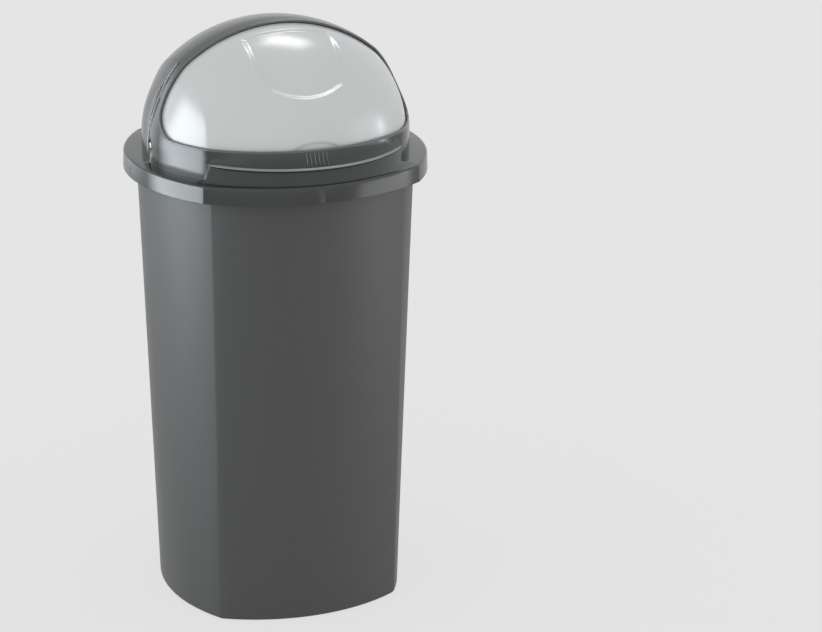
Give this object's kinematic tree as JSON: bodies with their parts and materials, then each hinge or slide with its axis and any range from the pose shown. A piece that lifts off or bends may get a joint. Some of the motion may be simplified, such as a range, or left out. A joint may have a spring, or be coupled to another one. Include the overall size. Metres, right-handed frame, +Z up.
{
  "type": "roll top bin",
  "caption": "Tall tapered waste bin with a lift-off lid whose curved flap rolls back under a half-dome hood.",
  "frame": {"origin": "middle of the base, on the floor", "axes": "+Z up, -Y towards the mouth, +X to the right as seen from the front"},
  "size_m": [0.3792, 0.3734, 0.75],
  "materials": {
    "tub_plastic": "dark grey, fine matt grain",
    "lid_plastic": "dark metallic grey, satin gloss",
    "flap_plastic": "light silver grey, satin gloss",
    "pin_plastic": "natural ivory"
  },
  "bodies": {
    "tub": {"bin_tub": "tub_plastic"},
    "lid": {"lid_hood": "lid_plastic"},
    "flap": {"roll_flap": "flap_plastic", "pivot_pin_left": "pin_plastic", "pivot_pin_right": "pin_plastic"}
  },
  "joints": [
    {"name": "lid_lift", "type": "slide", "parent": "tub", "child": "lid", "axis": [0, 0, 1], "range_m": [0, 0.06]},
    {"name": "flap_roll", "type": "hinge", "parent": "lid", "child": "flap", "pos_m": [0, -0.0142, 0.6031], "axis": [-1, 0, 0], "range_deg": [0, 85]}
  ]
}
